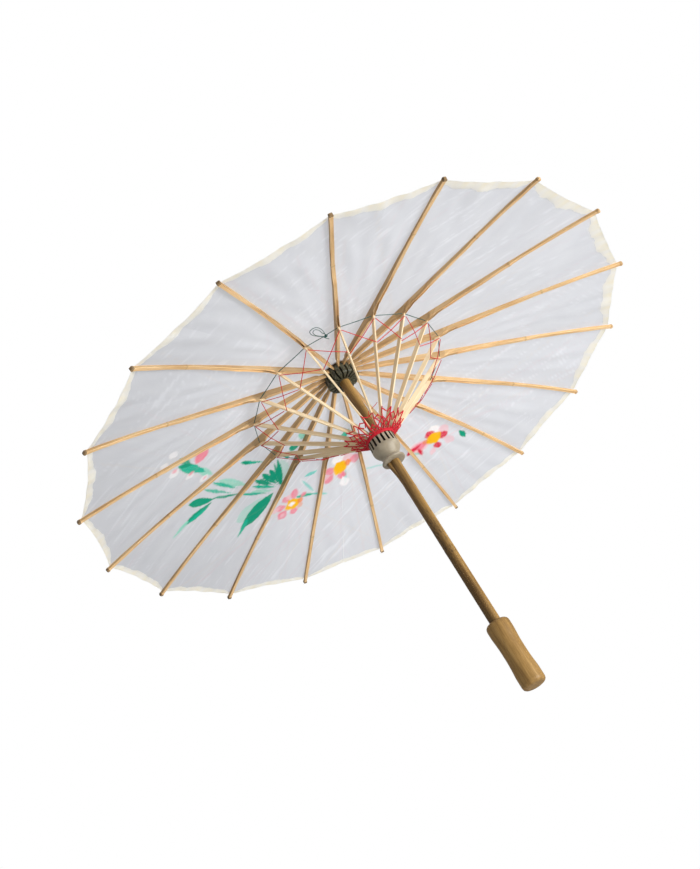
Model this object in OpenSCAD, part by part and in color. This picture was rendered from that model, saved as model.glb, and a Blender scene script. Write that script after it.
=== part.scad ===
// Open parasol with a cloth canopy, eighteen bamboo ribs and a sliding runner.
// Millimetres. The origin is the centre of the handle's bottom face, +Z runs up the shaft.
// Rib 01 lies along +X and the ribs are numbered counter-clockwise seen from above.

/* [Canopy] */
// radius to the tips of the ribs
tip_radius = 415; // [360:1:450]
// angle of the open ribs below the horizontal
rib_slope = 11.5; // [9:0.5:15]
// how far the rib tips stand out past the cloth
tip_show = 7; // [4:0.5:12]
// thickness of the cloth
cloth_thickness = 0.3; // [0.2:0.05:0.6]

/* [Ribs and stretchers] */
// distance along a rib from its hub pivot to the stretcher joint
joint_distance = 129.6; // [120:0.2:136]
// width of the outer stick of a rib where it starts
stick_width = 5.2; // [3.6:0.1:5.3]
// thickness of a stretcher
stretcher_thickness = 2.2; // [1.6:0.1:2.3]
// depth of a stretcher
stretcher_depth = 6.2; // [5:0.1:6.4]

/* [Shaft and handle] */
// diameter of the shaft
shaft_diameter = 15.2; // [14:0.1:15.4]
// diameter of the handle at its ends
handle_diameter = 32; // [28:0.5:36]
// length of the handle
handle_length = 92; // [80:1:110]

/* [Hidden] */

$fn = 48;

ribs = 18;
step = 360 / ribs;

// hub pivot, seen in the plane of one rib
hub_r = 19.5;
hub_z = 523.5;
hub_bottom = 507.3;
hub_top = 528;
hub_radius = 24;

// stretcher joint in the rib's own frame: u runs along the rib, v square to it
joint_u = joint_distance;
joint_v = -4.6;
joint_r = hub_r + joint_u * cos(rib_slope) + joint_v * sin(rib_slope);
joint_z = hub_z - joint_u * sin(rib_slope) + joint_v * cos(rib_slope);

// runner pivot
run_r = 14.9;
run_z = 400;
crown_top = 403.8;
flange_bottom = 358.2;

stretcher_length = sqrt(pow(joint_r - run_r, 2) + pow(joint_z - run_z, 2));
stretcher_angle = atan2(run_z - joint_z, run_r - joint_r);

rib_top = 4.5;
rib_length = (tip_radius - hub_r - rib_top * sin(rib_slope)) / cos(rib_slope);

bore = 0.55;
wire = 0.47;
shaft_r = shaft_diameter / 2;
// the shaft is thicker above the runner's travel
shaft_top_r = shaft_r + 0.3;

// the catch
catch_az = 80;
catch_z = 324;
catch_r = 3.6;

BAMBOO = [0.80, 0.62, 0.40];
PALE = [0.93, 0.85, 0.70];
IVORY = [0.86, 0.81, 0.70];
DARK = [0.12, 0.13, 0.12];
HANDLE = [0.86, 0.68, 0.42];
SHAFT = [0.72, 0.50, 0.28];
CLOTH = [0.86, 0.86, 0.89, 0.8];
HEM = [0.90, 0.87, 0.72];
RED = [0.72, 0.10, 0.10];
GREEN = [0.05, 0.25, 0.24];
STEEL = [0.62, 0.63, 0.65];

// a plate drawn in the plane of one rib (x outward, y up), with its thickness across the rib
module plate(thickness) {
    rotate([90, 0, 0]) linear_extrude(height = thickness, center = true) children();
}

// a round thread between two points, stopping just short of both
module strand(a, b, radius) {
    d = b - a;
    length = norm(d);
    gap = 0.6;
    translate(a + d * gap / length)
        rotate([0, acos(d[2] / length), atan2(d[1], d[0])])
            cylinder(r = radius, h = length - 2 * gap, $fn = 24);
}

// a ring of wire about the shaft
module ring(major, z, minor) {
    translate([0, 0, z])
        rotate_extrude($fn = 96)
            translate([major, 0]) circle(r = minor, $fn = 24);
}

// ---- shaft and handle ----

module shaft() {
    color(SHAFT) difference() {
        union() {
            rotate_extrude($fn = 96) polygon([
                [0, 14], [shaft_r, 14], [shaft_r, 412], [shaft_top_r, 450],
                [shaft_top_r, hub_top], [6, hub_top], [6, hub_top + 12], [0, hub_top + 12]]);
        }
        // slot for the catch, open to one side
        rotate([0, 0, catch_az]) {
            translate([-1.8, -3.2, catch_z - 5]) cube([20, 6.4, 40]);
            translate([catch_r, 0, catch_z]) rotate([90, 0, 0])
                cylinder(r = 0.75, h = 30, center = true);
        }
        // cross hole for the stop pin
        translate([0, 0, 407]) rotate([0, 90, 10]) cylinder(r = 0.8, h = 30, center = true);
    }
}

module handle() {
    r = handle_diameter / 2;
    color(HANDLE) difference() {
        rotate_extrude($fn = 96) polygon([
            [0, 0], [r - 5, 0], [r - 2.2, 0.8], [r - 0.7, 2.4], [r, 5], [r, 18],
            [r - 0.5, 26], [r - 1.1, 34], [r - 1.3, 40], [r - 1.3, 56],
            [r - 1.1, 62], [r - 0.5, 69], [r, 76], [r, handle_length - 5],
            [r - 0.7, handle_length - 2.4], [r - 2.4, handle_length - 0.8],
            [r - 5.5, handle_length], [0, handle_length]]);
        translate([0, 0, 14]) cylinder(r = shaft_r + 0.03, h = handle_length);
    }
}

// ---- top notch, its wire and the cap ----

module top_notch() {
    color(DARK) difference() {
        rotate_extrude($fn = 96) polygon([
            [shaft_top_r + 0.03, hub_bottom], [hub_radius - 3, hub_bottom],
            [hub_radius - 1, hub_bottom + 0.7], [hub_radius, hub_bottom + 2.2],
            [hub_radius, hub_top - 4], [21.5, hub_top - 1.2], [20.7, hub_top],
            [shaft_top_r + 0.03, hub_top]]);
        for (i = [0 : ribs - 1]) rotate([0, 0, i * step])
            plate(2.6) polygon([
                [9.6, hub_bottom - 1], [30, hub_bottom - 1], [30, hub_top + 1],
                [19.5, hub_top + 1], [16.2, hub_z + 1.5], [16.2, hub_z - 5],
                [9.6, hub_z - 7]]);
        ring(hub_r, hub_z, 0.5);
    }
}

module notch_wire() {
    color(STEEL) ring(hub_r, hub_z, wire);
}

module crown_cap() {
    z = hub_top;
    color(HANDLE) difference() {
        rotate_extrude($fn = 96) polygon([
            [0, z], [25, z], [25.6, z + 0.8], [25, z + 1.8], [19, z + 3.4], [12.5, z + 5.4],
            [9.2, z + 8], [8.4, z + 10.5], [9.4, z + 12.5], [10.6, z + 15], [11, z + 18],
            [10.4, z + 21.5], [8.8, z + 25], [6.2, z + 27.6], [3, z + 28.8], [0, z + 29]]);
        translate([0, 0, z - 1]) cylinder(r = 6.03, h = 14);
    }
}

module stop_pin() {
    color(STEEL) translate([0, 0, 407]) rotate([0, 90, 10])
        cylinder(r = 0.77, h = 20, center = true);
}

// ---- runner ----

module runner_slot() {
    plate(2.6) polygon([
        [11.8, crown_top + 2], [11.8, run_z - 1], [12.6, run_z - 3], [14.2, run_z - 6],
        [15.8, run_z - 19], [16.2, run_z - 29], [30, run_z - 29], [30, crown_top + 2]]);
}

module runner() {
    b = shaft_r + 0.06;
    z = flange_bottom;
    color(IVORY) difference() {
        rotate_extrude($fn = 96) polygon([
            [b, z], [14.5, z], [16.2, z + 0.5], [17, z + 1.7], [16.8, z + 3], [15.4, z + 4.4],
            [13.8, z + 6], [13.4, z + 8], [14, z + 11], [15.6, z + 14], [17.8, z + 17],
            [19.5, z + 20], [20.15, z + 23], [20.15, z + 26.5], [19.7, z + 29.5],
            [19.5, z + 31], [19.5, crown_top - 0.8], [18.9, crown_top], [b, crown_top]]);
        for (i = [0 : ribs - 1]) rotate([0, 0, i * step]) runner_slot();
        ring(run_r, run_z, 0.5);
    }
}

module runner_wire() {
    color(STEEL) ring(run_r, run_z, wire);
}

// a band of red thread wound over the lands of the crown
module red_band() {
    color(RED) for (i = [0 : ribs - 1]) rotate([0, 0, (i + 0.5) * step])
        translate([17, -1.5, crown_top]) cube([2.1, 3, 2.2]);
}

// ---- stretchers ----

// a point on stretcher i, a fraction t of the way from the joint to the runner,
// standing off its centre line by n towards the canopy
function on_stretcher(i, t, n) =
    let (r = joint_r + (run_r - joint_r) * t - n * sin(stretcher_angle + 180),
         z = joint_z + (run_z - joint_z) * t + n * cos(stretcher_angle + 180))
    [r * cos(i * step), r * sin(i * step), z];

module stretcher(i) {
    h = stretcher_depth / 2;
    length = stretcher_length;
    color(PALE) rotate([0, 0, (i - 1) * step])
        translate([joint_r, 0, joint_z]) rotate([0, -stretcher_angle, 0])
            difference() {
                plate(stretcher_thickness) union() {
                    circle(r = 2.5, $fn = 36);
                    translate([length, 0]) circle(r = 2.4, $fn = 36);
                    polygon([[0, -2.45], [6, -h], [length - 22, -h], [length, -2.35],
                             [length, 2.35], [length - 22, h], [6, h], [0, 2.45]]);
                }
                rotate([90, 0, 0]) cylinder(r = bore, h = 9, center = true);
                translate([length, 0, 0]) rotate([90, 0, 0])
                    cylinder(r = bore, h = 9, center = true);
            }
}

// ---- ribs ----

module rib(i) {
    s = stick_width / 2;
    color(BAMBOO) rotate([0, 0, (i - 1) * step])
        translate([hub_r, 0, hub_z]) rotate([0, rib_slope, 0])
            difference() {
                union() {
                    // thin head in the notch
                    plate(2.4) union() {
                        circle(r = 2.5, $fn = 36);
                        polygon([[0, -2.45], [18, -2.2], [18, 3.2], [4, 3.2], [0, 2.45]]);
                    }
                    // deep inner half, forked at the joint, its cheeks dying out beyond it
                    plate(4.1) polygon([
                        [17, -2.2], [joint_u - 14, -4.6], [joint_u - 9, -6.3],
                        [joint_u + 3, -6.3], [joint_u + 26, -2.6], [joint_u + 26, rib_top],
                        [21, rib_top], [17, 3.2]]);
                    // outer stick, thinner and narrower towards its tip
                    intersection() {
                        plate(9) polygon([
                            [joint_u + 8, rib_top], [joint_u + 8, -3.2], [joint_u + 152, 0.9],
                            [rib_length, 1], [rib_length, rib_top]]);
                        translate([0, 0, -5]) linear_extrude(height = 15) polygon([
                            [joint_u + 8, s], [rib_length, s - 0.25],
                            [rib_length, -s + 0.25], [joint_u + 8, -s]]);
                    }
                    // knot of the bamboo
                    translate([joint_u + 160, 0, 0]) rotate([90, 0, 90])
                        linear_extrude(height = 3) polygon([
                            [-s - 0.3, rib_top], [s + 0.3, rib_top], [s + 0.3, 2.3],
                            [s - 0.8, 0.6], [-s + 0.8, 0.6], [-s - 0.3, 2.3]]);
                }
                // slot for the stretcher, running on as a groove that it folds into
                translate([joint_u - 9.5, -1.25, -9]) cube([100, 2.5, 7.9]);
                rotate([90, 0, 0]) cylinder(r = bore, h = 9, center = true);
                translate([joint_u, 0, joint_v]) rotate([90, 0, 0])
                    cylinder(r = bore, h = 9, center = true);
            }
}

// ---- spring catch ----

// a tongue cut from the shaft's own stuff, standing out under the runner's flange
module spring_catch() {
    color(SHAFT) rotate([0, 0, catch_az]) translate([catch_r, 0, catch_z]) difference() {
        intersection() {
            plate(6) union() {
                circle(r = 2, $fn = 36);
                polygon([[-0.6, 0], [3.9, 0], [3.9, 6], [5.2, 20], [7.6, 31], [7.6, 33.8],
                         [0.8, 33.8], [0.2, 14]]);
            }
            translate([-catch_r, 0, 0]) rotate_extrude($fn = 96)
                polygon([[0, -4], [7.5, -4], [7.5, 8], [11.2, 32], [11.2, 36], [0, 36]]);
        }
        rotate([90, 0, 0]) cylinder(r = 0.78, h = 9, center = true);
    }
}

module catch_pin() {
    color(STEEL) rotate([0, 0, catch_az]) translate([catch_r, 0, catch_z]) rotate([90, 0, 0])
        cylinder(r = 0.72, h = 12, center = true);
}

// ---- canopy ----

// height of the underside of the cloth over the ribs, carried to the axis
apex_z = hub_z + (rib_top + 0.12) / cos(rib_slope) + hub_r * tan(rib_slope);
gore_slope = atan(tan(rib_slope) / cos(step / 2));
cloth_r = tip_radius - tip_show;

// a flat gore between two radii measured along the ribs, lying "lift" above the ribs
module gore(r1, r2, thickness, lift, trim) {
    s1 = r1 * cos(step / 2) / cos(gore_slope);
    s2 = r2 * cos(step / 2) / cos(gore_slope);
    w1 = r1 * sin(step / 2) - trim;
    w2 = r2 * sin(step / 2) - trim;
    translate([0, 0, apex_z]) rotate([0, gore_slope, 0]) translate([0, 0, lift])
        linear_extrude(height = thickness)
            polygon([[s1, -w1], [s2, -w2], [s2, w2], [s1, w1]]);
}

module canopy() {
    color(CLOTH) for (i = [0 : ribs - 1]) rotate([0, 0, (i + 0.5) * step])
        gore(22.4, cloth_r, cloth_thickness, 0, 0.12);
}

// a narrow band sewn along the edge under each gore
module canopy_hem() {
    color(HEM) for (i = [0 : ribs - 1]) rotate([0, 0, (i + 0.5) * step])
        gore(cloth_r - 10, cloth_r - 0.2, 0.25, -0.25, 3.4);
}

// ---- threads ----

module joint_thread() {
    color(GREEN) translate([0, 0, joint_z])
        rotate_extrude($fn = 180)
            translate([joint_r, 0]) circle(r = 0.5, $fn = 24);
}

// a knotted loop standing off the joint thread
module thread_loop() {
    az = 152;
    p = [joint_r * cos(az), joint_r * sin(az), joint_z];
    u = [cos(az), sin(az), 0];
    t = [sin(az), -cos(az), 0];
    color(GREEN) {
        translate(p - [0, 0, 2]) sphere(r = 1.4, $fn = 24);
        strand(p + 3 * u + [0, 0, -2], p + 30 * u + 4 * t + [0, 0, -2], 0.4);
        strand(p + 30 * u + 4 * t + [0, 0, -2], p + 32 * u + 13 * t + [0, 0, -2], 0.4);
        strand(p + 32 * u + 13 * t + [0, 0, -2], p + 3 * u + 4 * t + [0, 0, -2], 0.4);
    }
}

// crossing red threads between every pair of stretchers, near the joints
module red_lace() {
    color(RED) for (i = [0 : ribs - 1]) {
        strand(on_stretcher(i, 0.05, -4.6), on_stretcher(i + 1, 0.3, -4.2), 0.3);
        strand(on_stretcher(i + 1, 0.05, -5.4), on_stretcher(i, 0.3, -5), 0.3);
    }
}

// a net of red thread round the stretchers close to the runner
module red_net() {
    rows = [0.74, 0.79, 0.84, 0.89];
    color(RED) for (i = [0 : ribs - 1]) for (k = [0 : 2]) {
        a = on_stretcher(i, rows[k], -4);
        b = on_stretcher(i + 1, rows[k + 1], -4);
        c = on_stretcher(i + 1, rows[k], -4.8);
        d = on_stretcher(i, rows[k + 1], -4.8);
        strand(a, b, 0.3);
        strand(c, d, 0.3);
    }
}

// the loose end of the net's thread
module red_tail() {
    points = [[-29, -7, 412], [-25, 5, 416.5], [-26, 12, 424.5], [-34, 5, 429], [-40, -2, 432]];
    color(RED) for (k = [0 : 3]) strand(points[k], points[k + 1], 0.4);
}

shaft();
handle();
top_notch();
notch_wire();
crown_cap();
stop_pin();
runner();
runner_wire();
red_band();
red_net();
red_tail();
spring_catch();
catch_pin();
canopy();
canopy_hem();
joint_thread();
thread_loop();
red_lace();
rib(1);  // rib_01
rib(2);  // rib_02
rib(3);  // rib_03
rib(4);  // rib_04
rib(5);  // rib_05
rib(6);  // rib_06
rib(7);  // rib_07
rib(8);  // rib_08
rib(9);  // rib_09
rib(10);  // rib_10
rib(11);  // rib_11
rib(12);  // rib_12
rib(13);  // rib_13
rib(14);  // rib_14
rib(15);  // rib_15
rib(16);  // rib_16
rib(17);  // rib_17
rib(18);  // rib_18
stretcher(1);  // stretcher_01
stretcher(2);  // stretcher_02
stretcher(3);  // stretcher_03
stretcher(4);  // stretcher_04
stretcher(5);  // stretcher_05
stretcher(6);  // stretcher_06
stretcher(7);  // stretcher_07
stretcher(8);  // stretcher_08
stretcher(9);  // stretcher_09
stretcher(10);  // stretcher_10
stretcher(11);  // stretcher_11
stretcher(12);  // stretcher_12
stretcher(13);  // stretcher_13
stretcher(14);  // stretcher_14
stretcher(15);  // stretcher_15
stretcher(16);  // stretcher_16
stretcher(17);  // stretcher_17
stretcher(18);  // stretcher_18
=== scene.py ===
import math

import bmesh
import bpy
import numpy as np
from mathutils import Matrix, Vector


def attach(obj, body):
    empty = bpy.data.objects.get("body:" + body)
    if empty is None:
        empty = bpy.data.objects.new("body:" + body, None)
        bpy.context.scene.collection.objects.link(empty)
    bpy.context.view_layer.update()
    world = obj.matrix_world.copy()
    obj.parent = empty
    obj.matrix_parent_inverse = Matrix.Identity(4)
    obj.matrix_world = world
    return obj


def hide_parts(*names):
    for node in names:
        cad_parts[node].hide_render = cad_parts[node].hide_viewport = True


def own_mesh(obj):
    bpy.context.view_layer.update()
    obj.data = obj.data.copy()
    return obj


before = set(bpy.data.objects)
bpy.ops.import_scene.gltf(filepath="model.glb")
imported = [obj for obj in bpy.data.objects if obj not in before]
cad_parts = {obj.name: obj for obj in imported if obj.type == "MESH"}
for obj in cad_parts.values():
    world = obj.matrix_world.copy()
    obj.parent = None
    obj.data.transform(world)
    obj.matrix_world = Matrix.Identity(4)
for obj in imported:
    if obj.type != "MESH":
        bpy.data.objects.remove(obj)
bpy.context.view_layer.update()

# ---- dimensions, in metres

RIBS = 18
STEP = math.radians(20)
SLOPE = math.radians(11.5)
TIP_R = 0.415
HUB_R, HUB_Z = 0.0195, 0.5235
JOINT_U, JOINT_V = 0.1296, -0.0046
RUN_R, RUN_Z = 0.0149, 0.400
RIB_TOP = 0.0045
CLOTH_V = 0.00475
RIB_END = (TIP_R - HUB_R - 0.0009) / math.cos(SLOPE)
JOINT_R = HUB_R + JOINT_U * math.cos(SLOPE) + JOINT_V * math.sin(SLOPE)
JOINT_Z = HUB_Z - JOINT_U * math.sin(SLOPE) + JOINT_V * math.cos(SLOPE)
CLOTH_IN, CLOTH_OUT = 0.0226, 0.4082


def unit(azimuth):
    """The way out from the shaft."""
    return np.array([math.cos(azimuth), math.sin(azimuth), 0.0])


def across(azimuth):
    """The way round the shaft."""
    return np.array([-math.sin(azimuth), math.cos(azimuth), 0.0])


def sway(azimuth):
    """How far a rib's tip stands sideways: the set of the bamboo, drawn round by the cloth."""
    return 0.0015 + 0.0065 * math.cos(azimuth - math.radians(325))


def outer_share(u):
    """How far u is along the outer part of a rib, which is the part that bends."""
    return np.clip((u - 0.135) / (RIB_END - 0.135), 0, 1.1)


def rib_point(azimuth, u, v, w=0.0, bend=True):
    """A point in a rib's own frame: u along it, v up from its pivot line, w across it."""
    if bend:
        t = outer_share(u)
        w = w + sway(azimuth) * t ** 1.6
        v = v - 0.0032 * t ** 5
    out = HUB_R + u * math.cos(SLOPE) + v * math.sin(SLOPE)
    up = HUB_Z - u * math.sin(SLOPE) + v * math.cos(SLOPE)
    return unit(azimuth) * out + across(azimuth) * w + np.array([0, 0, up])


# ---- mesh helpers

def sharpen(me, limit=38):
    """Keeps the corners of a smooth-shaded mesh crisp."""
    bm = bmesh.new()
    bm.from_mesh(me)
    for e in bm.edges:
        e.smooth = len(e.link_faces) == 2 and e.calc_face_angle(0) < math.radians(limit)
    bm.to_mesh(me)
    bm.free()


def mesh_piece(name, verts, faces, material, body, uvs=None, replaces=(), slot=None):
    """A smooth-shaded piece that rides on body. uvs has the grain map at each point."""
    me = bpy.data.meshes.new(name)
    me.from_pydata([tuple(map(float, v)) for v in verts], [], faces)
    me.validate()
    me.update()
    ob = bpy.data.objects.new(name, me)
    bpy.context.scene.collection.objects.link(ob)
    me.polygons.foreach_set("use_smooth", [True] * len(me.polygons))
    sharpen(me)
    if uvs is not None:
        layer = me.uv_layers.new(name="grain")
        index = np.empty(len(me.loops), dtype=np.int32)
        me.loops.foreach_get("vertex_index", index)
        layer.data.foreach_set("uv", np.asarray(uvs, dtype=np.float32)[index].ravel())
    me.materials.append(material)
    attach(ob, body)
    if replaces:
        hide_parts(*replaces)
    return ob


def colour_points(ob, attribute, tones):
    """Gives each point of ob its own colour, from rows of red, green and blue."""
    rgba = np.ones((len(tones), 4), dtype=np.float32)
    rgba[:, :3] = tones
    layer = ob.data.attributes.new(attribute, "FLOAT_COLOR", "POINT")
    layer.data.foreach_set("color", rgba.ravel())


def grid_faces(rows, cols):
    """Faces over a grid of points that is listed row by row."""
    n = cols + 1
    return [(r * n + c, r * n + c + 1, (r + 1) * n + c + 1, (r + 1) * n + c)
            for r in range(rows) for c in range(cols)]


def loft(rings):
    """Faces that join rings of the same number of points, with a cap at both ends."""
    n = len(rings[0])
    verts = [p for ring in rings for p in ring]
    faces = []
    for i in range(len(rings) - 1):
        for k in range(n):
            a, b = i * n + k, i * n + (k + 1) % n
            faces.append((a, b, b + n, a + n))
    faces.append(tuple(range(n - 1, -1, -1)))
    last = (len(rings) - 1) * n
    faces.append(tuple(last + k for k in range(n)))
    return verts, faces


def tube_data(points, radius, sides=8):
    """A round thread along points."""
    pts = [Vector(p) for p in points]
    rings = []
    side = None
    for i, p in enumerate(pts):
        d = pts[min(i + 1, len(pts) - 1)] - pts[max(i - 1, 0)]
        d.normalize()
        if side is None:
            side = d.orthogonal().normalized()
        side = (side - d * side.dot(d)).normalized()
        other = d.cross(side)
        rings.append([p + (side * math.cos(a) + other * math.sin(a)) * radius
                      for a in np.linspace(0, 2 * math.pi, sides, endpoint=False)])
    return loft(rings)


def joined(parts):
    """One list of vertices and faces from several."""
    verts, faces = [], []
    for v, f in parts:
        base = len(verts)
        verts += list(v)
        faces += [tuple(i + base for i in face) for face in f]
    return verts, faces


def smooth_curve(points, count):
    """A Catmull-Rom curve through points."""
    p = [np.array(q, float) for q in points]
    p = [2 * p[0] - p[1]] + p + [2 * p[-1] - p[-2]]
    out = []
    for s in np.linspace(0, len(p) - 3 - 1e-9, count):
        i = int(s)
        t = s - i
        a, b, c, d = p[i:i + 4]
        out.append(0.5 * (2 * b + (c - a) * t + (2 * a - 5 * b + 4 * c - d) * t * t
                          + (3 * b - 3 * c + d - a) * t ** 3))
    return out


def lathe(name, profile, material, body, sides=96, **keys):
    """A turned piece from (radius, height) pairs, with the grain running up it."""
    angles = [2 * math.pi * k / sides for k in range(sides)]
    rings, uvs = [], []
    for r, z in profile:
        rings.append([(r * math.cos(a), r * math.sin(a), z) for a in angles])
        uvs += [(z, 0.016 * min(a, 2 * math.pi - a)) for a in angles]
    verts, faces = loft(rings)
    return mesh_piece(name, verts, faces, material, body, uvs=uvs, **keys)


# ---- materials

def fill(nt, node, values):
    """Sets the named inputs of a node, or links them where the value is a socket."""
    for name, value in values.items():
        if isinstance(value, bpy.types.NodeSocket):
            nt.links.new(value, node.inputs[name])
        else:
            node.inputs[name].default_value = value


def add(nt, kind, values):
    """A new shader node with its inputs filled."""
    node = nt.nodes.new("ShaderNode" + kind)
    fill(nt, node, values)
    return node


def new_material(name):
    """A node material, its node tree and its main shader."""
    m = bpy.data.materials.new(name)
    m.use_nodes = True
    nt = m.node_tree
    return m, nt, nt.nodes["Principled BSDF"]


def ramp(nt, source, stops):
    """The colour of a ramp through (position, colour) stops, read at source."""
    r = add(nt, "ValToRGB", {"Fac": source})
    el = r.color_ramp.elements
    while len(el) < len(stops):
        el.new(0.5)
    for e, (at, colour) in zip(el, stops):
        e.position = at
        e.color = (*colour, 1)
    return r.outputs["Color"]


def noise(nt, vector, scale, detail=4.0, rough=0.55, distortion=0.0):
    """Noise between 0 and 1."""
    return add(nt, "TexNoise", {"Vector": vector, "Scale": scale, "Detail": detail,
                                "Roughness": rough, "Distortion": distortion}).outputs["Fac"]


def mapped(nt, source, scale, location=(0, 0, 0)):
    """A vector stretched by scale and moved by location."""
    values = {"Vector": source, "Scale": scale, "Location": location}
    return add(nt, "Mapping", values).outputs["Vector"]


def grain(nt):
    """The grain map of the mesh."""
    uv = nt.nodes.new("ShaderNodeUVMap")
    uv.uv_map = "grain"
    return uv.outputs["UV"]


def point_colour(nt, name):
    """The colours that the mesh has on its points."""
    att = nt.nodes.new("ShaderNodeAttribute")
    att.attribute_name = name
    return att.outputs["Color"]


def mixed(nt, factor, a, b, mode="MIX"):
    """Two colours mixed. Each value is a number, a colour or a socket."""
    m = nt.nodes.new("ShaderNodeMix")
    m.data_type = "RGBA"
    m.blend_type = mode
    for value, socket in ((factor, m.inputs[0]), (a, m.inputs[6]), (b, m.inputs[7])):
        if isinstance(value, (int, float)):
            socket.default_value = value
        elif isinstance(value, tuple):
            socket.default_value = (*value, 1)
        else:
            nt.links.new(value, socket)
    return m.outputs[2]


def multiplied(nt, a, b, factor=1.0):
    """One colour times another."""
    return mixed(nt, factor, a, b, "MULTIPLY")


def bump(nt, height, strength, distance):
    """A surface normal from a height."""
    values = {"Height": height, "Strength": strength, "Distance": distance}
    return add(nt, "Bump", values).outputs["Normal"]


def wood(name, dark, mid, light, rough=0.5, along=14, round_it=900, specks=0.0, bands=0.5,
         fibre=0.35, tint=None, coat=0.0):
    """Split bamboo or turned wood, its fibres along the u of the grain map. specks is how dark
    the flecks are, and tint names the colours on the points that darken or lighten it, painted
    light and shade among them."""
    m, nt, p = new_material(name)
    base = grain(nt)
    broad = noise(nt, mapped(nt, base, (along, round_it * 0.25, 1)), 1.0, 5.0, 0.6)
    fine = noise(nt, mapped(nt, base, (along * 2.5, round_it * 1.6, 1), (3, 7, 0)), 1.0, 6.0, 0.7)
    colour = ramp(nt, broad, [(0.28, dark), (0.5, mid), (0.72, light)])
    lines = ramp(nt, fine, [(0.35, (0.55, 0.52, 0.48)), (0.55, (1, 1, 1))])
    colour = multiplied(nt, colour, lines, fibre)
    if bands:
        slow = noise(nt, mapped(nt, base, (9, 12, 1), (1, 2, 0)), 1.0, 2.0)
        shade = ramp(nt, slow, [(0.35, (0.74, 0.70, 0.64)), (0.62, (1.05, 1.03, 1.0))])
        colour = multiplied(nt, colour, shade, bands)
    if specks:
        dots = noise(nt, mapped(nt, base, (170, 520, 1), (5, 3, 0)), 1.0, 3.0, 0.6, 0.6)
        area = noise(nt, mapped(nt, base, (22, 60, 1), (9, 1, 0)), 1.0, 2.0)
        spots = multiplied(nt, ramp(nt, dots, [(0.535, (0, 0, 0)), (0.58, (1, 1, 1))]),
                           ramp(nt, area, [(0.36, (0, 0, 0)), (0.46, (1, 1, 1))]))
        height = add(nt, "SeparateXYZ", {"Vector": base}).outputs["X"]
        for begin, end, before, after in ((0.180, 0.205, 0.0, 1.0), (0.245, 0.275, 1.0, 0.3)):
            fade = add(nt, "MapRange", {"Value": height, "From Min": begin, "From Max": end,
                                        "To Min": before, "To Max": after})
            spots = multiplied(nt, spots, fade.outputs["Result"])
        both = mixed(nt, specks, (0, 0, 0), spots)
        colour = mixed(nt, both, colour, (0.035, 0.022, 0.012))
    if tint:
        colour = multiplied(nt, colour, point_colour(nt, tint))
    fill(nt, p, {
        "Base Color": colour, "Specular IOR Level": 0.32, "Normal": bump(nt, fine, 0.35, 0.0004),
        "Roughness": ramp(nt, fine, [(0.3, (rough + 0.12,) * 3), (0.7, (rough - 0.08,) * 3)])})
    if coat:
        fill(nt, p, {"Coat Weight": coat, "Coat Roughness": 0.35})
    return m


def thread(name, dark, light, sheen=0.3):
    """Twisted thread."""
    m, nt, p = new_material(name)
    fuzz = noise(nt, nt.nodes.new("ShaderNodeTexCoord").outputs["Object"], 900, 3.0)
    fill(nt, p, {"Base Color": ramp(nt, fuzz, [(0.35, dark), (0.65, light)]),
                 "Normal": bump(nt, fuzz, 0.4, 0.0003), "Roughness": 0.75,
                 "Sheen Weight": sheen})
    return m


def plain(name, dark, light, scale, rough, strength=0.2, distance=0.0003, metal=0.0):
    """A painted or plain surface with slight unevenness."""
    m, nt, p = new_material(name)
    n = noise(nt, nt.nodes.new("ShaderNodeTexCoord").outputs["Object"], scale, 5.0, 0.6)
    fill(nt, p, {
        "Base Color": ramp(nt, n, [(0.35, dark), (0.65, light)]), "Metallic": metal,
        "Roughness": ramp(nt, n, [(0.3, (rough - 0.07,) * 3), (0.7, (rough + 0.07,) * 3)]),
        "Normal": bump(nt, n, strength, distance)})
    return m


def cloth(name, through=0.5):
    """Thin white cloth that lets light through, painted by the colours on its points."""
    m, nt, p = new_material(name)
    base = grain(nt)
    mottle = noise(nt, mapped(nt, base, (26, 60, 1)), 1.0, 4.0)
    shade = ramp(nt, mottle, [(0.3, (0.955, 0.955, 0.965)), (0.7, (1.0, 1.0, 1.0))])
    colour = multiplied(nt, point_colour(nt, "paint"), shade)
    weave = add(nt, "TexChecker", {"Vector": base, "Scale": 2500}).outputs["Fac"]
    fill(nt, p, {"Base Color": colour, "Roughness": 0.62, "Sheen Weight": 0.15,
                 "Specular IOR Level": 0.25, "Normal": bump(nt, weave, 0.12, 0.0001)})
    thin = add(nt, "BsdfTranslucent", {"Color": colour})
    mix = nt.nodes.new("ShaderNodeMixShader")
    mix.inputs[0].default_value = through
    nt.links.new(p.outputs["BSDF"], mix.inputs[1])
    nt.links.new(thin.outputs["BSDF"], mix.inputs[2])
    fill(nt, nt.nodes["Material Output"], {"Surface": mix.outputs["Shader"]})
    return m


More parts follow.
